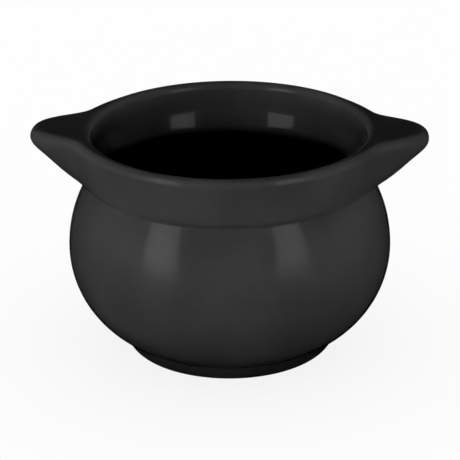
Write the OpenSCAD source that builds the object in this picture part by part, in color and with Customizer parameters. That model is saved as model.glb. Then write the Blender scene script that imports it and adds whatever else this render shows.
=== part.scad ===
// French onion soup crock in glazed stoneware: a pot-bellied bowl, a flared collar with a rounded rim,
// two ear lugs let into the collar and a turned foot ring.
// Millimetres, +Z up. The origin is the middle of the plane that the foot rests on, and the lugs lie along X.

/* [Bowl] */
// Outside diameter of the belly at its widest
belly_d = 118; // [110:0.5:126]
// Height of the widest part of the belly
belly_z = 38.3; // [34:0.1:42]
// How far the shoulder that carries the collar lies in from the widest part of the belly
shoulder_in = 8.3; // [6:0.1:11]
// Thickness of the belly wall
wall_t = 5; // [4:0.1:6]
// Thickness of the floor
floor_t = 5; // [4:0.1:7]
// Thickness of the neck at the shoulder, from throat to outside
neck_t = 3.2; // [3:0.1:3.8]
// Height over which the throat opens out below into the belly
neck_h = 8.5; // [7:0.1:11]

/* [Collar seat] */
// Thickness of the spigot that locates the collar
spigot_t = 1.6; // [1.3:0.1:1.9]
// Height of the spigot above the shoulder
spigot_h = 1.5; // [1:0.1:2.2]
// Gap left for slip between luted faces
lute_gap = 0.15; // [0.1:0.01:0.25]

/* [Collar] */
// How far the lower edge of the collar stands out past the shoulder
collar_over = 1.7; // [1:0.1:2.2]
// How far the rim stands out past the lower edge of the collar
rim_flare = 2.6; // [1.5:0.1:5]
// Height of the rim above the table
rim_z = 82.9; // [76:0.1:92]
// Height of the collar, from the shoulder to the rim
collar_h = 18; // [14:0.1:21]
// Thickness of the rounded rim
rim_t = 5.2; // [4.4:0.1:6]
// Radius on the lower edge of the collar
edge_r = 1; // [0.4:0.1:1]
// Height of the sloping ledge inside the collar, from the throat up
ledge_h = 7.8; // [5:0.1:9]
// How far the ledge slopes in to the throat
ledge_in = 2.4; // [1.4:0.1:2.6]

/* [Lugs] */
// How far the tip of a lug stands out past the rim
lug_out = 17; // [12:0.1:22]
// Thickness of a lug at its tip
lug_t = 7; // [5.4:0.1:7.6]
// How far the middle of the tip lies below the middle of the rim
lug_droop = 0.6; // [0:0.1:2]
// Half angle, seen from above, at which the tip has narrowed into its wing
lug_angle = 12.1; // [10:0.1:15]
// Half angle of the whole lug, with the wings that run out along the collar
wing_angle = 40; // [36:0.5:44]
// How far the root of the lug runs down the belly below the collar
lug_dip = 2; // [1:0.1:3.4]
// How far the underside swells out from a straight flank
lug_swell = 1; // [0:0.1:1.5]
// Depth of the seat for the lug at the collar's lower edge
lug_seat_t = 1.2; // [1:0.05:1.4]
// Least thickness of the lug's toe on the belly
toe_t = 1; // [0.4:0.05:1.4]

/* [Foot] */
// Outside diameter of the foot where it meets the belly
foot_d = 80.6; // [74:0.2:88]
// Height of the foot ring
foot_h = 5.8; // [5:0.1:7]
// How far the tread lies in from the outside of the foot
tread_in = 4.6; // [3.6:0.1:5.4]
// Width of the tread that the crock rests on, up to the bore of the ring
tread_w = 4.5; // [3.6:0.1:6]
// Radius on the outer edge of the tread
tread_r = 3; // [2:0.1:3.4]
// Radius on the inner edge of the tread
tread_bore_r = 1; // [0.6:0.1:1.4]
// How far the boss under the floor reaches down into the ring
boss_h = 3; // [2:0.1:3.6]

/* [Hidden] */
$fn = 120;

// Run-out of every cut past the face that it starts from
overrun = 2;
glaze_colour = [0.17, 0.17, 0.17];
collar_colour = [0.2, 0.2, 0.2];
lug_colour = [0.23, 0.23, 0.23];
foot_colour = [0.13, 0.13, 0.13];

// Bluntness of the lug's tip, and the shares and bluntness of the wings beside it
tip_exponent = 2.9;
wing_share = 0.14;
wing_exponent = 1.45;
// Half angle over which the root runs down the belly, as a share of the whole lug
dip_angle_share = 0.525;
// Angle short of the crest at which the rim's curve gives way to the flat top of a lug
crest_angle = 30;
lug_slices = 48;
flank_steps = 8;
nose_steps = 10;

belly_r = belly_d / 2;
shoulder_r = belly_r - shoulder_in;
shoulder_z = rim_z - collar_h;
foot_r = foot_d / 2;
throat_r = shoulder_r - neck_t;
collar_r = shoulder_r + collar_over;
rim_r = collar_r + rim_flare;
bead_r = rim_t / 2;
nose_r = lug_t / 2;
bead_c = [rim_r - bead_r, rim_z - bead_r];
edge_c = [collar_r - edge_r, shoulder_z + edge_r];
ledge_p = [throat_r + ledge_in, shoulder_z + ledge_h];
neck_z = shoulder_z - neck_h;
spigot_r = throat_r + spigot_t;
seat_r = collar_r - lug_seat_t;
tip_r = rim_r + lug_out;
lug_reach = tip_r - nose_r - bead_c.x;
tread_mid_r = foot_r - tread_in;
bore_r = tread_mid_r - tread_w;
boss_r = bore_r - lute_gap;
boss_z = foot_h - boss_h;
floor_z = boss_z + floor_t;

// Radius of an arc that starts upright and moves in by d over a height h
function arc_radius(d, h) = (d * d + h * h) / (2 * d);

upper_r = arc_radius(belly_r - shoulder_r, shoulder_z - belly_z);
lower_r = arc_radius(belly_r - foot_r, belly_z - foot_h);

// Radius of the belly at a height above its widest part, outside or at a depth in from there
function belly_at(z, depth = 0) = belly_r - upper_r + sqrt(pow(upper_r - depth, 2) - pow(z - belly_z, 2));

// Point at an angle on a circle
function on_circle(c, r, a) = c + r * [cos(a), sin(a)];

// Angle of the normal of a line that touches two circles, on their right (-1) or left (1) going from p to q
function touch_angle(p, pr, q, qr, side) =
    atan2(q.y - p.y, q.x - p.x) + side * acos((pr - qr) / norm(q - p));

// Radius of the lug's seat in the collar at a height, from the lower edge up to the crest of the rim
function seat_at(z) = seat_r + (bead_c.x - seat_r) * (z - shoulder_z) / (rim_z - shoulder_z);

// How much of its reach a lug has at an angle from its middle: 1 at the tip and 0 at the ends of its wings
function wing(a) = max(0, cos(90 * a / wing_angle));
function lug_bump(a) =
    (1 - wing_share) * exp(-pow(abs(a) / lug_angle, tip_exponent)) + wing_share * pow(wing(a), wing_exponent);
function dip_bump(a) = exp(-pow(a / (dip_angle_share * wing_angle), 2)) * wing(a);

// Swell of the flank: 0 at both ends, 1 a third of the way up, and level with the tip where it meets it
function swell(t) = 27 / 4 * t * pow(1 - t, 2);

// Outline of a lug in the upright plane at an angle from its middle, as [radius, height] points
function lug_section(a) =
    let (
        b = lug_bump(a),
        d = dip_bump(a),
        nose = bead_c + b * [lug_reach, -lug_droop],
        r = bead_r + (nose_r - bead_r) * b,
        toe_z = shoulder_z - lug_dip * d,
        toe_low_r = belly_at(shoulder_z - lug_dip) + lute_gap + toe_t,
        toe = [collar_r + (max(collar_r, toe_low_r) - collar_r) * d, toe_z],
        out = touch_angle(toe, 0, nose, r, -1),
        top = 90 - crest_angle * (1 - b),
        touch = on_circle(nose, r, out),
        normal = [cos(out), sin(out)]
    )
    concat(
        [[seat_at(rim_z) + lute_gap, rim_z], [seat_at(shoulder_z) + lute_gap, shoulder_z]],
        [for (i = [0 : flank_steps - 1])
            let (t = i / flank_steps)
            toe + (touch - toe) * t + normal * lug_swell * b * (2 - b) * swell(t)],
        [for (i = [0 : nose_steps])
            on_circle(nose, r, out + (top - out) * i / nose_steps)]
    );

// Solid between a row of outlines of equal length, closed at both ends
module skin(rows) {
    n = len(rows[0]);
    last = len(rows) - 1;
    points = [for (row = rows) each row];
    sides = [
        for (i = [0 : last - 1])
            for (j = [0 : n - 1])
                let (k = (j + 1) % n)
                each [
                    [i * n + j, i * n + k, (i + 1) * n + k],
                    [i * n + j, (i + 1) * n + k, (i + 1) * n + j]
                ]
    ];
    near = [for (j = [n - 1 : -1 : 0]) j];
    far = [for (j = [0 : n - 1]) last * n + j];
    polyhedron(points, concat(sides, [near, far]));
}

// Region inside an arc about the height of the belly, filled to the axis, between two heights
module drum_2d(r, arc, z0, z1) {
    c = r - arc;
    core_z0 = max(z0, belly_z - arc);
    core_z1 = min(z1, belly_z + arc);
    intersection() {
        union() {
            translate([c, belly_z])
                circle(arc);
            if (c > 0)
                translate([0, core_z0])
                    square([c, core_z1 - core_z0]);
        }
        translate([0, z0])
            square([r, z1 - z0]);
    }
}

// Mouth of the bowl, from inside the belly up through the throat to the top of the ledge
module mouth_2d() {
    polygon([
        [0, neck_z],
        [belly_at(neck_z, wall_t), neck_z],
        [throat_r, shoulder_z],
        ledge_p,
        [0, ledge_p.y]
    ]);
}

module bowl_2d() {
    difference() {
        union() {
            drum_2d(belly_r, lower_r, foot_h, belly_z);
            drum_2d(belly_r, upper_r, belly_z, shoulder_z);
            translate([0, boss_z])
                square([boss_r, boss_h]);
            translate([0, shoulder_z])
                square([spigot_r, spigot_h]);
        }
        drum_2d(belly_r - wall_t, lower_r - wall_t, floor_z, belly_z);
        drum_2d(belly_r - wall_t, upper_r - wall_t, belly_z, shoulder_z);
        mouth_2d();
    }
}

module collar_2d() {
    out = touch_angle(edge_c, edge_r, bead_c, bead_r, -1);
    in = touch_angle(ledge_p, 0, bead_c, bead_r, 1);
    difference() {
        union() {
            polygon([
                [throat_r, shoulder_z],
                [edge_c.x, shoulder_z],
                on_circle(edge_c, edge_r, out),
                on_circle(bead_c, bead_r, out),
                bead_c,
                on_circle(bead_c, bead_r, in),
                ledge_p
            ]);
            translate(edge_c)
                circle(edge_r);
            translate(bead_c)
                circle(bead_r);
        }
        translate([0, shoulder_z - overrun])
            square([spigot_r + lute_gap, overrun + spigot_h + lute_gap]);
    }
}

// Everything outside the seat of a lug, from below the collar to above the rim
module seat_2d() {
    low = shoulder_z - overrun;
    high = rim_z + overrun;
    polygon([[seat_at(low), low], [tip_r, low], [tip_r, high], [seat_at(high), high]]);
}

module foot_2d() {
    outer_c = [tread_mid_r, tread_r];
    inner_c = [bore_r + tread_bore_r, tread_bore_r];
    joint_p = [foot_r, foot_h];
    out = touch_angle(outer_c, tread_r, joint_p, 0, -1);
    polygon([
        [bore_r, tread_bore_r],
        inner_c,
        [inner_c.x, 0],
        [outer_c.x, 0],
        outer_c,
        on_circle(outer_c, tread_r, out),
        joint_p,
        [bore_r, foot_h]
    ]);
    translate(outer_c)
        circle(tread_r);
    translate(inner_c)
        circle(tread_bore_r);
}

// One lug on the +X side
module lug() {
    half = wing_angle - atan(lute_gap / seat_r);
    skin([
        for (i = [0 : lug_slices])
            let (a = half * (2 * i / lug_slices - 1))
            [for (p = lug_section(a)) [p.x * cos(a), p.x * sin(a), p.y]]
    ]);
}

// Belly, floor, shoulder and spigot
module bowl_body() {
    color(glaze_colour)
        rotate_extrude()
            bowl_2d();
}

// Flared band with the rounded rim, seated over the spigot
module rim_collar() {
    color(collar_colour)
        difference() {
            rotate_extrude()
                collar_2d();
            for (turn = [0, 180])
                rotate([0, 0, turn - wing_angle])
                    rotate_extrude(angle = 2 * wing_angle)
                        seat_2d();
        }
}

module left_lug() {
    color(lug_colour)
        rotate([0, 0, 180])
            lug();
}

module right_lug() {
    color(lug_colour)
        lug();
}

// Ring that the crock stands on, fitted round the boss under the floor
module foot_ring() {
    color(foot_colour)
        rotate_extrude()
            foot_2d();
}

bowl_body();
rim_collar();
left_lug();
right_lug();
foot_ring();
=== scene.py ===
import math

import bpy
import numpy as np
from mathutils import Matrix, Vector


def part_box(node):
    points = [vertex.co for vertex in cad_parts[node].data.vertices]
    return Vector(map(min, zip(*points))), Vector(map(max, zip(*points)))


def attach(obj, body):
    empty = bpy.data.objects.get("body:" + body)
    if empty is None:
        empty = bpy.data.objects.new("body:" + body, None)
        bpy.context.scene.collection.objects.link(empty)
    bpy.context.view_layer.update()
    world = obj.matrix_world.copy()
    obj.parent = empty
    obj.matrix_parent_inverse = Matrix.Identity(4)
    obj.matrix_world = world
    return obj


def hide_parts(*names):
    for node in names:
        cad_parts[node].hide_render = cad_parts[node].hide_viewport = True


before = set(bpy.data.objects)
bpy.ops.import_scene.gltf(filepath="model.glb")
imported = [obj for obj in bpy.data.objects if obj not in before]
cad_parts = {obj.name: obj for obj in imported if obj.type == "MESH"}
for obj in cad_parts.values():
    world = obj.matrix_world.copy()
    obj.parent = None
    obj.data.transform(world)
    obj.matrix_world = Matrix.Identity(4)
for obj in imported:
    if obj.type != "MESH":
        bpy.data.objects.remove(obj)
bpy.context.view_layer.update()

mm = 0.001
print("frame loaded:", ", ".join(sorted(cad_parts)))

# main places of the crock, read from the frame, in millimetres
bowlLow, bowlHigh = (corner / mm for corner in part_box("bowl_body"))
collarLow, collarHigh = (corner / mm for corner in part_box("rim_collar"))
lugLow, lugHigh = (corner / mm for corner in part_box("right_lug"))
_, footHigh = (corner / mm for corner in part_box("foot_ring"))
bellyR = bowlHigh.x
bossZ = bowlLow.z
spigotZ = bowlHigh.z
shoulderZ = collarLow.z
rimR, rimZ = collarHigh.y, collarHigh.z
tipR = lugHigh.x
footR, footH = footHigh.x, footHigh.z

# how finely the meshes are made
columnCount = 360  # steps round the crock, one a degree
fineStep = 0.06  # between the points of an outline while it is softened, in millimetres
weldDigits = 9  # points that agree to so many decimals of a metre become one
noArea = 1e-14  # a face under so many square metres has no direction of its own
neverZero = 1e-20  # keeps a division safe


# outlines are rows of [radius, height] in millimetres
def arcCurve(centre, radius, start, end, count=64):
    turn = np.radians(np.linspace(start, end, count))
    return np.stack([centre[0] + radius * np.cos(turn), centre[1] + radius * np.sin(turn)], 1)


def straight(a, b, count=24):
    t = np.linspace(0, 1, count)[:, None]
    return np.asarray(a) * (1 - t) + np.asarray(b) * t


def runLength(points):
    return np.concatenate([[0], np.cumsum(np.linalg.norm(np.diff(points, axis=0), axis=1))])


def spaced(points, count, crowd=1.0):  # crowd over 1 puts more points near the start
    run = runLength(points)
    at = run[-1] * np.linspace(0, 1, count) ** crowd
    return np.stack([np.interp(at, run, points[:, k]) for k in range(2)], 1)


def softened(points, reach):  # rounds every corner, as a coat of glaze does
    dense = spaced(points, int(runLength(points)[-1] / fineStep) + 2)
    half = int(3 * reach / fineStep)  # the bell curve has faded out at three times its reach
    kernel = np.exp(-0.5 * (np.arange(-half, half + 1) * fineStep / reach) ** 2)
    kernel /= kernel.sum()
    before = 2 * dense[0] - dense[half:0:-1]  # both ends go on mirrored, so that they stay in place
    after = 2 * dense[-1] - dense[-2:-half - 2:-1]
    padded = np.vstack([before, dense, after])
    return np.stack([np.convolve(padded[:, k], kernel, "valid") for k in range(2)], 1)


def between(a, b, share):
    return a + (b - a) * share


def smooth(a, b, x):  # eases from 0 at a to 1 at b
    t = np.clip((x - a) / (b - a), 0, 1)
    return t * t * (3 - 2 * t)


def worn(points, reach, start, full):  # softened past one share of the run, in full past another
    soft = softened(points, reach)
    sharp = spaced(points, len(soft))
    return between(sharp, soft, smooth(start, full, np.linspace(0, 1, len(soft)))[:, None])


def arcRadius(inset, height):  # arc that starts upright and moves in by inset over height
    return (inset * inset + height * height) / (2 * inset)


def touchAngle(point, centre, radius, side):  # normal of the line from a point that touches a circle
    dx, dz = centre[0] - point[0], centre[1] - point[1]
    return math.degrees(math.atan2(dz, dx) + side * math.acos(-radius / math.hypot(dx, dz)))


def onCircle(centre, radius, angle):
    turn = math.radians(angle)
    return np.asarray(centre) + radius * np.array([math.cos(turn), math.sin(turn)])


# arc from a crease into the straight run from toe to above, and how far along that run it ends
def edgeArc(crease, toe, above, radius, count=24):
    along = (above - toe) / np.linalg.norm(above - toe)
    inward = np.array([-along[1], along[0]])
    away = toe - crease + radius * inward
    depth = radius - away @ inward
    reach = math.sqrt(max(depth * (2 * radius - depth), 0)) - away @ along
    centre = toe + reach * along + radius * inward
    ends = [math.degrees(math.atan2(*(p - centre)[::-1])) for p in (crease, toe + reach * along)]
    turn = (ends[1] - ends[0] + 180) % 360 - 180
    return arcCurve(centre, radius, ends[0], ends[0] + turn, count), reach


# grids of points go round the crock first and along the outline second
angles = np.radians(np.arange(columnCount) * 360 / columnCount)


def roundGrid(outlines):  # one outline for all columns, or one for each
    outlines = np.asarray(outlines, float)
    if outlines.ndim == 2:
        outlines = np.repeat(outlines[None], columnCount, 0)
    r, z = outlines[..., 0], outlines[..., 1]
    return np.stack([r * np.cos(angles)[:, None], r * np.sin(angles)[:, None], z], 2) * mm


def ring(r, z):
    return roundGrid([[r, z]])[:, 0]


def gridNormals(points, around=True):
    if around:
        across = np.roll(points, -1, 0) - np.roll(points, 1, 0)
    else:
        across = np.gradient(points, axis=0)
    normals = np.cross(across, np.gradient(points, axis=1))
    size = np.linalg.norm(normals, axis=2, keepdims=True)
    flat = size[..., 0] < noArea
    normals = normals / np.maximum(size, neverZero)
    for row in np.nonzero(flat.any(0))[0]:  # the axis, where a row shrinks to a point
        near = normals[:, row - 1 if row else 1].mean(0)
        normals[:, row] = (0, 0, math.copysign(1, near[2]))
    return normals


def edgeCoat(points, normals):  # over 0 on edges, where glaze runs thin, under 0 in creases, where it pools
    step = np.gradient(points, axis=1)
    turn = np.gradient(normals, axis=1)
    bend = (step * turn).sum(2) / np.maximum((step * step).sum(2), neverZero) * mm
    return np.clip(bend, -1, 1)


def patch(points, normals=None, around=True, coat=None):
    if normals is None:
        normals = gridNormals(points, around)
    if coat is None:
        coat = np.zeros(points.shape[:2])
    return {"points": points, "normals": normals, "around": around, "coat": coat}


def bands(lines, around=True):  # plain faces that lie hidden against another piece
    return [patch(np.stack([a, b], 1), None, around) for a, b in zip(lines, lines[1:])]


def polygonsOf(patches, ends):  # faces, as numbers of points in the order of the patches and ends
    polygons, start = [], 0
    for part in patches:
        columns, rows = part["points"].shape[:2]
        grid = start + np.arange(columns * rows).reshape(columns, rows)
        start += columns * rows
        here, after = (grid, np.roll(grid, -1, 0)) if part["around"] else (grid[:-1], grid[1:])
        fours = np.stack([here[:, :-1], after[:, :-1], after[:, 1:], here[:, 1:]], -1)
        polygons.extend(fours.reshape(-1, 4))
    for end in ends:
        polygons.append(start + np.arange(len(end)))
        start += len(end)
    return polygons


def addLayer(mesh, name, values):  # a number at every point, for a material to read
    layer = mesh.attributes.new(name, "FLOAT", "POINT")
    layer.data.foreach_set("value", np.ravel(values).astype(np.float32))


def buildPiece(name, patches, ends=(), **marks):  # marks are functions that give a number for each point
    points = np.concatenate([part["points"].reshape(-1, 3) for part in patches] + list(ends))
    coat = np.concatenate([part["coat"].ravel() for part in patches] + [np.zeros(len(end)) for end in ends])
    normals = [part["normals"].reshape(-1, 3) for part in patches]
    for end in ends:  # flat end faces, each a closed outline
        flat = np.cross(end, np.roll(end, -1, 0)).sum(0)
        normals.append(np.repeat(flat[None] / np.linalg.norm(flat), len(end), 0))
    normals = np.concatenate(normals)
    rounded = np.round(points, weldDigits)
    places, first, same = np.unique(rounded, axis=0, return_index=True, return_inverse=True)
    same = same.ravel()
    faces, cornerNormals = [], []
    for polygon in polygonsOf(patches, ends):
        corners = {int(same[k]): k for k in polygon}  # drops points that fall together
        if len(corners) > 2:
            faces.append(list(corners))
            cornerNormals.extend(normals[k] for k in corners.values())
    mesh = bpy.data.meshes.new(name)
    mesh.from_pydata(places.tolist(), [], faces)
    mesh.polygons.foreach_set("use_smooth", [True] * len(faces))
    mesh.normals_split_custom_set(cornerNormals)
    addLayer(mesh, "glazeCoat", coat[first])
    for key, mark in marks.items():
        addLayer(mesh, key, mark(places))
    mesh.update()
    piece = bpy.data.objects.new(name, mesh)
    bpy.context.scene.collection.objects.link(piece)
    print(f"{name}: {len(places)} points, {len(faces)} faces")
    return piece


# bowl: pot belly with its floor, shoulder and the low spigot under the collar
bowl = {
    "widestZ": 38.3,  # height of the widest part
    "shoulderIn": 8.3,  # in from the widest part
    "wall": 5.0,
    "floor": 5.0,
    "neck": 3.2,  # throat in from the shoulder
    "neckH": 8.5,  # over which the throat opens out into the belly
    "spigot": 1.6,  # thickness of its wall
    "floorSoft": 2.2,  # how softly the inside turns into the floor
    "pool": 0.7,  # glaze in the corner of the recess under the floor
    "lowerRows": 32,  # of the belly, up to the widest part
    "upperRows": 28,
    "insideRows": 90,
    "insideCrowd": 1.8,  # closer together towards the throat
    "recessRows": 26,
    "recessCrowd": 1.6,  # closer together towards the corner
}
shoulderR = bellyR - bowl["shoulderIn"]
throatR = shoulderR - bowl["neck"]
spigotR = throatR + bowl["spigot"]
floorZ = bossZ + bowl["floor"]
upperArc = arcRadius(bowl["shoulderIn"], shoulderZ - bowl["widestZ"])
lowerArc = arcRadius(bellyR - footR, bowl["widestZ"] - footH)


def bellyAt(z, inset=0.0):  # radius of the belly at a height, or of its inside
    arc = np.where(np.asarray(z) > bowl["widestZ"], upperArc, lowerArc)
    drop = np.asarray(z) - bowl["widestZ"]
    return bellyR - arc + np.sqrt(np.maximum((arc - inset) ** 2 - drop ** 2, 0))


def bellyCurve(low, high, inset=0.0, count=120):
    z = np.linspace(low, high, count)
    return np.stack([bellyAt(z, inset), z], 1)


# short run of belly beside a crease, so that the glaze rounds into it
skirt = {
    "reach": 4,  # in times the softness of the crease
    "tuck": 0.03,  # its far end dips under the bowl's own face
    "points": 16,
}


def bellySkirt(low, high, lowTuck, highTuck):
    run = bellyCurve(low, high, count=skirt["points"])
    run[:, 0] -= skirt["tuck"] * np.linspace(lowTuck, highTuck, skirt["points"]) ** 2
    return run


# collar: flared band with a rounded rim and a sloping ledge inside
collar = {
    "over": 1.7,  # lower edge past the shoulder
    "bead": 5.2,  # thickness of the rounded rim
    "ledgeH": 7.8,  # top of the ledge above the shoulder
    "ledgeIn": 2.4,  # foot of the ledge in from its top
    "lipSoft": 1.1,  # how round the ledge turns over into the throat
    "edgeRound": 4.5,  # radius that turns the lower edge under, into the crease
    "edgeDrop": 0.6,  # how far the rounded edge hangs below the shoulder
    "creaseSoft": 0.2,  # glaze in the crease under the collar
    "seatIn": 0.4,  # foot of a lug's seat, in from the shoulder
    "beadRows": 16,  # from the crest of the rim inwards
    "wallRows": 52,
}
collarR = shoulderR + collar["over"]
beadR = collar["bead"] / 2
beadC = np.array([rimR - beadR, rimZ - beadR])
crest = np.array([beadC[0], rimZ])
ledgeTop = (throatR + collar["ledgeIn"], shoulderZ + collar["ledgeH"])
seatFootR = shoulderR - collar["seatIn"]

# lugs: ears that flow out of the collar
lug = {
    "thick": 7.0,
    "droop": 0.6,  # middle of the nose below the middle of the rim's bead
    "tipAngle": 12.1,  # about half the width of the ear, in degrees round the crock
    "tipBlunt": 2.9,
    "wingAngle": 40,  # where the wings end
    "wingShare": 0.14,  # part of the reach that the wings take
    "wingBlunt": 1.45,
    "dipShare": 0.525,  # part of the wings along which the root dips below the collar
    "swell": 1.0,  # fullness of the flank
    "toe": 1.1,  # thickness of the toe on the belly
    "toeSkirt": 0.5,  # the glaze meets the belly so far below the toe
    "rootRound": 1.2,  # radius that turns the toe under, into the crease
    "rootSoft": 0.3,  # glaze in the crease under a lug
    "noseSoft": 2.3,  # how softly the top turns over into the flank at the tip
    "noseMore": 0.55,  # what that takes off the tip, given back
    "noseFrom": (0.45, 0.80),  # share of the flank over which the softening comes in
    "flankPoints": 60,
    "leanPoint": 12,  # point of the flank that gives its slope above the toe
    "nosePoints": 120,
    "flankRows": 64,
    "flankCrowd": 1.5,  # closer together towards the crease
    "noseRows": 30,
}
noseR = lug["thick"] / 2
lugReach = tipR - noseR - beadC[0] + lug["noseMore"]
lugDip = shoulderZ - lugLow.z
wingSteps = lug["wingAngle"] * columnCount // 360


def wing(turn):
    return math.cos(math.radians(90 * turn / lug["wingAngle"])) if abs(turn) < lug["wingAngle"] else 0.0


def lugBump(turn):  # 1 at the tip of a lug, 0 past the ends of its wings
    tip = math.exp(-(abs(turn) / lug["tipAngle"]) ** lug["tipBlunt"])
    return (1 - lug["wingShare"]) * tip + lug["wingShare"] * wing(turn) ** lug["wingBlunt"]


def dipBump(turn):  # 1 where the root of a lug reaches lowest
    return math.exp(-(turn / (lug["dipShare"] * lug["wingAngle"])) ** 2) * wing(turn)


def outerOutline(turn):  # from the belly up the flank and over to the crest of the rim
    bump, dip = lugBump(turn), dipBump(turn)
    nose = beadC + bump * np.array([lugReach, -lug["droop"]])
    r = between(beadR, noseR, bump)
    toeOut = max(0.0, float(bellyAt(shoulderZ - lugDip)) + lug["toe"] - collarR)
    toe = np.array([collarR + toeOut * dip, shoulderZ - collar["edgeDrop"] * (1 - dip) - lugDip * dip])
    contactZ = toe[1] - lug["toeSkirt"] * dip
    below = bellySkirt(contactZ - skirt["reach"] * lug["rootSoft"], contactZ, 1, 0)
    out = touchAngle(toe, nose, r, -1)
    t = np.linspace(0, 1, lug["flankPoints"])[:, None]
    hump = 27 / 4 * t * (1 - t) ** 2  # 0 at both ends, 1 at a third of the way up
    swell = lug["swell"] * bump * (2 - bump) * hump
    flank = toe + (onCircle(nose, r, out) - toe) * t + onCircle((0, 0), 1, out) * swell
    above = flank[lug["leanPoint"]]
    edge, reach = edgeArc(below[-1], toe, above, between(collar["edgeRound"], lug["rootRound"], dip))
    flank = flank[(flank - toe) @ (above - toe) > reach * np.linalg.norm(above - toe)]
    lower = softened(np.vstack([below, edge, flank]), between(collar["creaseSoft"], lug["rootSoft"], dip))
    over = np.vstack([arcCurve(nose, r, out, 90, lug["nosePoints"]), straight(nose + [0, r], crest)])
    whole = np.vstack([lower, over[1:]])
    split = runLength(lower)[-1] / runLength(whole)[-1]
    start, full = (split * share for share in lug["noseFrom"])
    whole = worn(whole, max(lug["noseSoft"] * bump, fineStep), start, full)
    cut = int(split * len(whole))
    flankRun = spaced(whole[:cut + 1], lug["flankRows"], lug["flankCrowd"])
    return np.vstack([flankRun, spaced(whole[cut:], lug["noseRows"] + 1)[1:]])


def lugTurn(column):  # degrees from the middle of the nearer lug
    return (column * 360 / columnCount + 90) % 180 - 90


outer = np.array([outerOutline(lugTurn(column)) for column in range(columnCount)])

# inside: rim, wall of the collar, ledge, throat, belly and floor in one sweep
inAngle = touchAngle(ledgeTop, beadC, beadR, 1)
beadIn = spaced(arcCurve(beadC, beadR, 90, inAngle), collar["beadRows"] + 1)[1:]
neckZ = shoulderZ - bowl["neckH"]
throatRun = softened(np.vstack([
    straight(beadIn[-1], ledgeTop),
    straight(ledgeTop, (throatR, shoulderZ))[1:],
    straight((throatR, shoulderZ), (bellyAt(neckZ, bowl["wall"]), neckZ))[1:],
    bellyCurve(neckZ, bowl["widestZ"], bowl["wall"])[1:],
]), collar["lipSoft"])
floorRun = softened(np.vstack([
    bellyCurve(bowl["widestZ"], floorZ, bowl["wall"]),
    straight((bellyAt(floorZ, bowl["wall"]), floorZ), (0, floorZ))[1:],
]), bowl["floorSoft"])
floorRun[-1, 0] = 0  # on the axis, where all columns meet
inside = np.vstack([throatRun, floorRun[1:]])
seam = int(np.argmax(inside[:, 1] < spigotZ))
wallIn = spaced(inside[:seam + 1], collar["wallRows"] + 1)[1:]
bellyIn = spaced(inside[seam:], bowl["insideRows"] + 1, bowl["insideCrowd"])[1:]

# one grid for the whole outside and inside, so that the pieces meet without a step
lining = np.vstack([beadIn, wallIn, bellyIn])
skin = roundGrid(np.concatenate([outer, np.repeat(lining[None], columnCount, 0)], 1))
skinNormals = gridNormals(skin)
skinCoat = edgeCoat(skin, skinNormals)
crestRow = outer.shape[1] - 1
seamRow = crestRow + len(beadIn) + len(wallIn)
seatFoot = ring(seatFootR, shoulderZ)
print("outlines made:", skin.shape[0], "columns of", skin.shape[1], "points")


def span(first, last):  # columns from first to last, both kept, round past the start
    return np.arange(first, last + 1) % columnCount


def skinPatch(columns, firstRow, lastRow, around):
    cut = np.ix_(columns, np.arange(firstRow, lastRow + 1))
    return patch(skin[cut], skinNormals[cut], around, skinCoat[cut])


def wingEnd(column, flip):  # flat end face between a lug's wing and the collar
    outline = np.vstack([skin[column, :crestRow + 1], seatFoot[column]])
    return outline[::-1] if flip else outline


def lugPiece(name, middle):
    columns = span(middle - wingSteps, middle + wingSteps)
    patches = [skinPatch(columns, 0, crestRow, False)]
    patches += bands([skin[columns, crestRow], seatFoot[columns], skin[columns, 0]], False)
    return buildPiece(name, patches, [wingEnd(columns[0], False), wingEnd(columns[-1], True)])


def collarPiece():
    everyColumn, half = np.arange(columnCount), columnCount // 2
    patches = [skinPatch(everyColumn, crestRow, seamRow, True)]
    patches += bands([skin[:, seamRow], ring(spigotR, spigotZ), ring(spigotR, shoulderZ), seatFoot])
    ends = []
    for middle in (0, half):
        shown = span(middle + wingSteps, middle + half - wingSteps)
        seat = span(middle - wingSteps, middle + wingSteps)
        patches.append(skinPatch(shown, 0, crestRow, False))
        patches += bands([seatFoot[shown], skin[shown, 0]], False)
        patches += bands([seatFoot[seat], skin[seat, crestRow]], False)
        ends += [wingEnd(seat[0], True), wingEnd(seat[-1], False)]
    return buildPiece("flared_collar", patches, ends)


# foot: turned ring with a bare tread
foot = {
    "treadIn": 4.6,  # tread in from the joint with the belly
    "treadW": 4.5,  # from the outside of the tread to the bore
    "outerRound": 3.0,
    "boreRound": 1.0,
    "boreTop": 1.0,  # where the glaze of the bore starts, below the top of the ring
    "glazeTurn": 36,  # how far up the outer round the bare clay reaches, in degrees
    "boreTurn": 48,
    "glazeThick": 0.22,
    "wander": 4.0,  # how far the edge of the glaze wanders, in degrees
    "waves": ((0.5, 3, 0.7), (0.3, 8, 2.1), (0.2, 19, 0.0)),  # share, count round the foot and start
    "creaseSoft": 0.45,
    "clayTop": 1.2,  # no bare clay above this height
    "clayIn": 0.02,  # shifts the clay's mark towards the axis, so that no point falls right on its ends
    "boreRows": 14,
    "clayRows": 30,
    "glazeRows": 44,
}
treadR = footR - foot["treadIn"]
boreR = treadR - foot["treadW"]
boreEdgeR = boreR + foot["boreRound"]


def glazeEdges(turn):  # angles of the uneven wiped edges of the glaze, in the bore and outside
    waves = sum(share * np.sin(count * turn + start) for share, count, start in foot["waves"])
    wander = foot["wander"] * waves
    return -90 - foot["boreTurn"] + wander, -90 + foot["glazeTurn"] + wander


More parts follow.
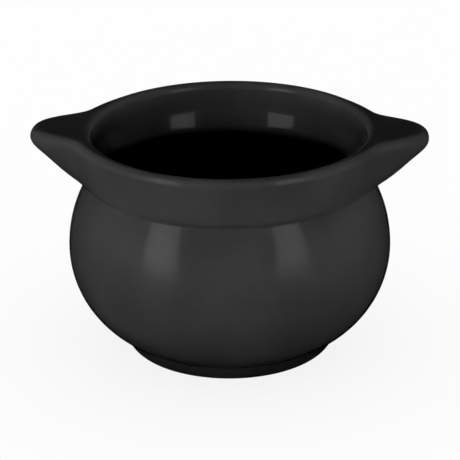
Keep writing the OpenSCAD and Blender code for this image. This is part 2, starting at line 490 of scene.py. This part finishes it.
def footOutline(turn):  # from the bore under the tread and up to the belly
    boreEdge, outEdge = glazeEdges(turn)
    outerC, boreC = (treadR, foot["outerRound"]), (boreEdgeR, foot["boreRound"])
    boreClay = foot["boreRound"] - foot["glazeThick"] / 2  # the wiped clay lies deeper than the glaze
    outerClay = foot["outerRound"] - foot["glazeThick"]
    joint = (footR, footH)
    out = touchAngle(joint, outerC, foot["outerRound"], 1)
    above = bellySkirt(footH, footH + skirt["reach"] * foot["creaseSoft"], 0, 1)
    boreGlaze = np.vstack([
        straight((boreR, footH - foot["boreTop"]), (boreR, foot["boreRound"])),
        arcCurve(boreC, foot["boreRound"], -180, boreEdge)[1:],
    ])
    clay = np.vstack([
        arcCurve((boreEdgeR, boreClay), boreClay, boreEdge, -90),
        straight((boreEdgeR, 0), (treadR, 0))[1:],
        arcCurve((treadR, outerClay), outerClay, -90, outEdge)[1:],
    ])
    outGlaze = softened(np.vstack([
        arcCurve(outerC, foot["outerRound"], outEdge, out),
        straight(onCircle(outerC, foot["outerRound"], out), joint)[1:],
        above[1:],
    ]), foot["creaseSoft"])
    runs = (boreGlaze, foot["boreRows"]), (clay, foot["clayRows"]), (outGlaze, foot["glazeRows"])
    return np.vstack([spaced(points, rows) for points, rows in runs])


def bareClay(places):  # 1 on the clay of the tread, 0 on the glaze
    r, z = np.hypot(places[:, 0], places[:, 1]) / mm, places[:, 2] / mm
    boreEdge, outEdge = np.radians(glazeEdges(np.arctan2(places[:, 1], places[:, 0])))
    pastBore = r > boreEdgeR + foot["boreRound"] * np.cos(boreEdge) - foot["clayIn"]
    beforeOut = r < treadR + foot["outerRound"] * np.cos(outEdge) - foot["clayIn"]
    return (z < foot["clayTop"]) & pastBore & beforeOut


def footPiece():
    shown = roundGrid([footOutline(turn) for turn in angles])
    normals = gridNormals(shown)
    patches = [patch(shown, normals, True, edgeCoat(shown, normals))]
    patches += bands([shown[:, -1], ring(footR, footH), ring(boreR, footH), shown[:, 0]])
    return buildPiece("turned_foot", patches, bareClay=bareClay)


def bowlPiece():
    recess = softened(np.vstack([
        straight((0, bossZ), (boreR, bossZ), count=60),
        straight((boreR, bossZ), (boreR, bossZ - 2 * bowl["pool"]))[1:],
    ]), bowl["pool"] / 2)
    recess[0, 0] = 0  # on the axis, where all columns meet
    under = roundGrid(spaced(recess[::-1], bowl["recessRows"], bowl["recessCrowd"])[::-1])
    belly = roundGrid(np.vstack([
        bellyCurve(footH, bowl["widestZ"], count=bowl["lowerRows"]),
        bellyCurve(bowl["widestZ"], shoulderZ, count=bowl["upperRows"])[1:],
    ]))
    lower = skinPatch(np.arange(columnCount), seamRow, skin.shape[1] - 1, True)
    patches = [patch(under), patch(belly), lower]
    patches += bands([under[:, -1], ring(boreR, footH), belly[:, 0]])
    patches += bands([belly[:, -1], ring(spigotR, shoulderZ), ring(spigotR, spigotZ), skin[:, seamRow]])
    return buildPiece("glazed_bowl", patches)


# finishes: black glaze, and the bare clay of the tread
glazeLook = {
    "dark": (0.029, 0.029, 0.029, 1),
    "light": (0.0368, 0.0368, 0.0368, 1),
    "thin": (0.0408, 0.0405, 0.0400, 1),  # on edges, where the body shows through
    "smooth": 0.045,
    "rough": 0.09,
    "satin": 0.38,  # share of soft gloss over the sharp gloss
    "satinRough": 0.30,
    "ior": 1.5,
    "mottle": 55,  # scale of the clouds of light and dark
    "mottleCut": (0.3, 0.7),  # noise that counts as all dark and as all light
    "edgeCut": (0.25, 0.9),  # bend at which an edge starts to show thin, and shows most
    "edgeShare": 0.8,
    "edgeBreak": (0.35, 0.65),  # clouds that break up the thin edges
    "edgeLeast": 0.5,
    "speckle": 900,
    "speckleCut": (0.60, 0.76),
    "speckleShare": 0.8,
    "speckleRoughCut": (0.6, 0.8),
    "speckleRough": 0.08,  # what the heart of a speckle adds to the roughness
    "peel": 260,  # scale of the faint waves in the glaze
    "peelShare": 0.7,
    "turning": (6, 6, 900),  # scale of the turning lines round the crock
    "turningShare": 0.3,
    "bump": 0.25,
    "bumpHeight": 0.00004,
}
clayLook = {
    "pale": (0.50, 0.43, 0.34, 1),
    "deep": (0.36, 0.29, 0.21, 1),
    "rough": 0.85,
    "grain": 1500,
    "grainCut": (0.35, 0.65),
    "grainHeight": 6,  # in times the height of the glaze's waves
}


def addNode(tree, kind, **values):
    node = tree.nodes.new(kind)
    for key, value in values.items():
        setattr(node, key, value)
    return node


def noise(tree, where, scale, detail):
    node = addNode(tree, "ShaderNodeTexNoise")
    node.inputs["Scale"].default_value = scale
    node.inputs["Detail"].default_value = detail
    tree.links.new(where, node.inputs["Vector"])
    return node.outputs["Fac"]


def mapRange(tree, value, fromMin, fromMax, toMin, toMax, kind="SMOOTHSTEP"):
    node = addNode(tree, "ShaderNodeMapRange", interpolation_type=kind)
    for key, number in (("From Min", fromMin), ("From Max", fromMax), ("To Min", toMin), ("To Max", toMax)):
        node.inputs[key].default_value = number
    tree.links.new(value, node.inputs["Value"])
    return node.outputs["Result"]


def maths(tree, operation, a, b):
    node = addNode(tree, "ShaderNodeMath", operation=operation)
    for socket, value in zip(node.inputs, (a, b)):
        if isinstance(value, (int, float)):
            socket.default_value = value
        else:
            tree.links.new(value, socket)
    return node.outputs[0]


def added(tree, a, b):
    return maths(tree, "ADD", a, b)


def times(tree, a, b):
    return maths(tree, "MULTIPLY", a, b)


def mixColour(tree, factor, a, b):
    node = addNode(tree, "ShaderNodeMix", data_type="RGBA")
    tree.links.new(factor, node.inputs[0])
    for socket, value in zip(node.inputs[6:8], (a, b)):  # the mix node's two sockets for colours
        if isinstance(value, tuple):
            socket.default_value = value
        else:
            tree.links.new(value, socket)
    return node.outputs[2]


def attribute(tree, name):
    return addNode(tree, "ShaderNodeAttribute", attribute_name=name).outputs["Fac"]


def glaze(name, tread=False):
    look = glazeLook
    finish = bpy.data.materials.new(name)
    finish.use_nodes = True
    tree = finish.node_tree
    shader = tree.nodes["Principled BSDF"]
    where = addNode(tree, "ShaderNodeTexCoord").outputs["Object"]
    mottle = noise(tree, where, look["mottle"], detail=4)
    speckle = noise(tree, where, look["speckle"], detail=2)
    peel = noise(tree, where, look["peel"], detail=2)
    turning = addNode(tree, "ShaderNodeMapping")
    turning.inputs["Scale"].default_value = look["turning"]
    tree.links.new(where, turning.inputs["Vector"])
    lines = noise(tree, turning.outputs[0], scale=1, detail=2)
    clouds = mapRange(tree, mottle, *look["mottleCut"], 0, 1)
    specks = mapRange(tree, speckle, *look["speckleCut"], 0, look["speckleShare"])
    edges = mapRange(tree, attribute(tree, "glazeCoat"), *look["edgeCut"], 0, look["edgeShare"])
    thin = times(tree, edges, mapRange(tree, mottle, *look["edgeBreak"], look["edgeLeast"], 1))
    colour = mixColour(tree, clouds, look["dark"], look["light"])
    colour = mixColour(tree, specks, colour, look["thin"])
    colour = mixColour(tree, thin, colour, look["thin"])
    rough = mapRange(tree, mottle, *look["mottleCut"], look["smooth"], look["rough"])
    rough = added(tree, rough, mapRange(tree, speckle, *look["speckleRoughCut"], 0, look["speckleRough"]))
    height = added(tree, times(tree, peel, look["peelShare"]), times(tree, lines, look["turningShare"]))
    if tread:
        bare = attribute(tree, "bareClay")
        grain = noise(tree, where, clayLook["grain"], detail=3)
        grains = mapRange(tree, grain, *clayLook["grainCut"], 0, 1)
        colour = mixColour(tree, bare, colour, mixColour(tree, grains, clayLook["deep"], clayLook["pale"]))
        rough = added(tree, rough, times(tree, bare, clayLook["rough"] - look["rough"]))
        height = added(tree, height, times(tree, bare, times(tree, grain, clayLook["grainHeight"])))
    bump = addNode(tree, "ShaderNodeBump")
    bump.inputs["Strength"].default_value = look["bump"]
    bump.inputs["Distance"].default_value = look["bumpHeight"]
    tree.links.new(height, bump.inputs["Height"])
    tree.links.new(colour, shader.inputs["Base Color"])
    tree.links.new(rough, shader.inputs["Roughness"])
    tree.links.new(bump.outputs["Normal"], shader.inputs["Normal"])
    shader.inputs["IOR"].default_value = look["ior"]
    shader.inputs["Coat Weight"].default_value = look["satin"]
    shader.inputs["Coat Roughness"].default_value = look["satinRough"]
    return finish


def dress(piece, finish, node):
    piece.data.materials.append(finish)
    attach(piece, "root")
    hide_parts(node)


lugGlaze = glaze("lug glaze")
dress(bowlPiece(), glaze("belly glaze"), "bowl_body")
dress(collarPiece(), glaze("collar glaze"), "rim_collar")
dress(lugPiece("right_ear_lug", 0), lugGlaze, "right_lug")
dress(lugPiece("left_ear_lug", columnCount // 2), lugGlaze, "left_lug")
dress(footPiece(), glaze("foot glaze", True), "foot_ring")
print("pieces made")

# camera at the photo's angle
shot = {
    "distance": 0.700,
    "height": 0.042625,  # of the point on the axis that the camera looks at
    "elevation": 22.70,
    "azimuth": 2.9,
    "roll": 0.45,
    "focalPixels": 1902.0,
    "imagePixels": 460,
    "shiftPixels": 0.3,
    "sensor": 36.0,
    "clip": (0.01, 100),
}


def direction(azimuth, elevation):  # azimuth from the camera, positive to its right
    a, e = math.radians(azimuth + shot["azimuth"]), math.radians(elevation)
    return Vector((math.sin(a) * math.cos(e), -math.cos(a) * math.cos(e), math.sin(e)))


def makeCamera():
    data = bpy.data.cameras.new("shot")
    camera = bpy.data.objects.new("shot", data)
    bpy.context.scene.collection.objects.link(camera)
    back = direction(0, shot["elevation"])
    roll = Matrix.Rotation(math.radians(-shot["roll"]), 3, "Z")
    turn = (-back).to_track_quat("-Z", "Y").to_matrix() @ roll
    place = Vector((0, 0, shot["height"])) + back * shot["distance"]
    camera.matrix_world = Matrix.Translation(place) @ turn.to_4x4()
    data.sensor_width = shot["sensor"]
    data.lens = shot["sensor"] * shot["focalPixels"] / shot["imagePixels"]
    data.shift_x = shot["shiftPixels"] / shot["imagePixels"]
    data.clip_start, data.clip_end = shot["clip"]
    bpy.context.scene.camera = camera


makeCamera()
print("camera set")

# studio: pale floor with a painted contact shadow round the foot, and backdrop, for the camera,
# soft light from low down all round, and soft boxes that the glaze mirrors
studio = {
    "paper": 0.99,  # glow of the floor and backdrop as the camera sees them
    "paintedShadow": 0.10,  # painted contact shadow: how much darker the floor is painted at the foot
    # how quickly the painted contact shadow fades away from the foot
    "paintedShadowFade": 0.035,
    "backdropReach": 20,
    "backdropRise": (-10, 90),  # elevation of its lower and upper edge
    "backdropGrid": (49, 17),
    "black": 0.006,  # black point of the print
    "top": 0.38,  # weak light from above
    "topFoot": (0.10, 0.40),  # sine of the elevation over which it comes in
    "band": 0.9,  # low light all round
    "bandTurn": 102,  # azimuth of its brightest parts at the sides
    "bandLeft": 26.0,  # what those have more
    "bandRight": 22.0,
    "bandTop": (0.01, 0.13),  # sine of the elevation over which it fades out
    "front": 8.5,  # broad light behind the camera
    "frontTurn": -22,
    "frontSpread": (0.20, 0.90),  # cosine from its middle, dark to full
    "frontFoot": (0.08, 0.14),
    "frontTop": (0.17, 0.28),
    "table": 0.24,  # light that the table throws back up
    "tableLeft": 2.2,  # share by which it is brighter at the sides
    "tableRight": 1.8,
    "tableLift": 0.010,  # the table's light starts a little above the foot
    "liftReach": (0.065, 0.085),
    "shadeStart": 0.060,  # shade of the crock on the table, as the glaze sees it
    "shadeFade": 0.090,
    "footGlow": 0.58,  # light that comes back up from the table close to the foot
    "footFade": 0.006,
    "tableReach": (0.02, 12.0),  # innermost and outermost ring of the table and the floor
    "tableRings": 80,
    "tableSpokes": 73,
    "tableDrop": 0.00002,  # keeps the table just clear of the foot
    "boxDistance": 0.45,  # from a point inside the belly
    "boxCentre": 0.05,  # height of that point
    "boxEdge": 0.72,  # glow at the sides of a soft box, as a share of its middle
    "boxFade": 0.35,  # share of its height over which the glow comes in from below
    "boxGrid": (13, 17),
}
# azimuth from the camera, how far the foot leans to the middle, width, lowest and highest elevation, glow
softBoxes = {
    "left_soft_box": (-53.7, 10, 25.2, -10, 50, 0.72),
    "right_soft_box": (46.8, 7, 23.0, -10, 50, 0.61),
    "left_back_box": (-130, 4, 27, 20, 64, 0.1),
    "right_back_box": (130, 4, 27, 20, 64, 0.1),
}


def emitter(name, strength, glowName=None, clear=False):
    finish = bpy.data.materials.new(name)
    finish.use_nodes = True
    tree = finish.node_tree
    tree.nodes.clear()
    light = addNode(tree, "ShaderNodeEmission")
    light.inputs["Strength"].default_value = strength
    if glowName:
        tree.links.new(times(tree, attribute(tree, glowName), strength), light.inputs["Strength"])
    shown = light.outputs[0]
    if clear:  # what lies behind still shows through
        both = addNode(tree, "ShaderNodeAddShader")
        tree.links.new(shown, both.inputs[0])
        tree.links.new(addNode(tree, "ShaderNodeBsdfTransparent").outputs[0], both.inputs[1])
        shown = both.outputs[0]
    tree.links.new(shown, addNode(tree, "ShaderNodeOutputMaterial").inputs["Surface"])
    return finish


def stageSheet(name, columns, finish, seenBy, glow=None):  # sheet from columns of points
    count, rows = len(columns), len(columns[0])
    faces = [(i * rows + j, (i + 1) * rows + j, (i + 1) * rows + j + 1, i * rows + j + 1)
             for i in range(count - 1) for j in range(rows - 1)]
    mesh = bpy.data.meshes.new(name)
    mesh.from_pydata([point for column in columns for point in column], [], faces)
    mesh.materials.append(finish)
    if glow is not None:
        addLayer(mesh, "glow", glow)
    sheet = bpy.data.objects.new(name, mesh)
    bpy.context.scene.collection.objects.link(sheet)
    sheet.visible_camera = "camera" in seenBy
    sheet.visible_diffuse = "diffuse" in seenBy
    sheet.visible_glossy = "glossy" in seenBy
    sheet.visible_transmission = sheet.visible_volume_scatter = sheet.visible_shadow = False
    return sheet


def softBox(name, azimuth, footIn, width, low, high, strength):
    columns, glow = [], []
    sideways, upwards = (np.linspace(0, 1, count) for count in studio["boxGrid"])
    for u in sideways:
        column = []
        for v in upwards:
            lean = math.copysign(footIn, azimuth) * (v - 1)
            ray = direction(azimuth + lean + (u - 0.5) * width, between(low, high, v))
            column.append(ray * studio["boxDistance"] + Vector((0, 0, studio["boxCentre"])))
            share = between(studio["boxEdge"], 1, math.sin(math.pi * u))
            glow.append(share * min(1.0, v / studio["boxFade"]))
        columns.append(column)
    stageSheet(name, columns, emitter(name, strength, "glow", True), ("diffuse", "glossy"), glow)


# the table and the floor are rings of points round the crock, just under its foot
spokes = np.linspace(0, 360, studio["tableSpokes"])
reaches = np.concatenate([[0], np.geomspace(*studio["tableReach"], studio["tableRings"])])
pastFoot = np.maximum(reaches - footR * mm, 0)


def disc(heights):
    rays = [direction(azimuth, 0) for azimuth in spokes]
    levels = [Vector((0, 0, height - studio["tableDrop"])) for height in heights]
    return [[ray * reach + level for reach, level in zip(reaches, levels)] for ray in rays]


def softLight():  # lights the glaze but isn't mirrored in it
    world = bpy.data.worlds.new("soft light")
    bpy.context.scene.world = world
    world.use_nodes = True
    tree = world.node_tree
    sky = tree.nodes["Background"]
    ray = addNode(tree, "ShaderNodeTexCoord").outputs["Generated"]

    def along(azimuth, elevation):
        dot = addNode(tree, "ShaderNodeVectorMath", operation="DOT_PRODUCT")
        dot.inputs[1].default_value = direction(azimuth, elevation)
        tree.links.new(ray, dot.inputs[0])
        return dot.outputs["Value"]

    toLeft, toRight, up = along(-studio["bandTurn"], 0), along(studio["bandTurn"], 0), along(0, 90)
    left = mapRange(tree, toLeft, 0, 1, studio["band"], studio["band"] + studio["bandLeft"], "LINEAR")
    right = mapRange(tree, toRight, 0, 1, 0, studio["bandRight"], "LINEAR")
    band = times(tree, added(tree, left, right), mapRange(tree, up, *studio["bandTop"], 1, 0))
    front = mapRange(tree, along(studio["frontTurn"], 0), *studio["frontSpread"], 0, studio["front"])
    front = times(tree, front, mapRange(tree, up, *studio["frontFoot"], 0, 1))
    front = times(tree, front, mapRange(tree, up, *studio["frontTop"], 1, 0))
    top = mapRange(tree, up, *studio["topFoot"], 0, studio["top"])
    tree.links.new(added(tree, added(tree, band, front), top), sky.inputs["Strength"])
    sky.inputs["Color"].default_value = (1, 1, 1, 1)
    world.cycles_visibility.camera = world.cycles_visibility.glossy = False


def tableGlow():  # light that the table throws back up, with the crock's own shade round its foot
    shade = 1 - np.exp(-np.maximum(reaches - studio["shadeStart"], 0) / studio["shadeFade"])
    shade += studio["footGlow"] * np.exp(-pastFoot / studio["footFade"])
    heights = studio["tableLift"] * smooth(*studio["liftReach"], reaches)
    side = np.sin(np.radians(spokes))
    more = np.where(side < 0, -side * studio["tableLeft"], side * studio["tableRight"])
    finish = emitter("table glow", studio["table"], "glow")
    table = stageSheet("table_glow", disc(heights), finish, ("diffuse",), np.outer(1 + more, shade))
    table.visible_shadow = True


# evenly glowing floor for the camera alone, with a painted contact shadow round the foot in place of a cast
# one
def paperFloor():
    shade = 1 - studio["paintedShadow"] * np.exp(-pastFoot / studio["paintedShadowFade"])
    finish = emitter("paper", studio["paper"], "glow")
    stageSheet("paper_floor", disc(0 * reaches), finish, ("camera",), [shade] * len(spokes))


def backdrop():
    turns, rises = studio["backdropGrid"]
    columns = [[direction(azimuth, elevation) * studio["backdropReach"]
                for elevation in np.linspace(*studio["backdropRise"], rises)]
               for azimuth in np.linspace(0, 360, turns)]
    stageSheet("backdrop", columns, emitter("backdrop", studio["paper"]), ("camera",))


softLight()
tableGlow()
paperFloor()
backdrop()
for name, values in softBoxes.items():
    softBox(name, *values)
settings = bpy.context.scene.view_settings
settings.view_transform = "Standard"
settings.use_curve_mapping = True
settings.curve_mapping.black_level = [studio["black"]] * 3
settings.curve_mapping.update()
print("studio made")
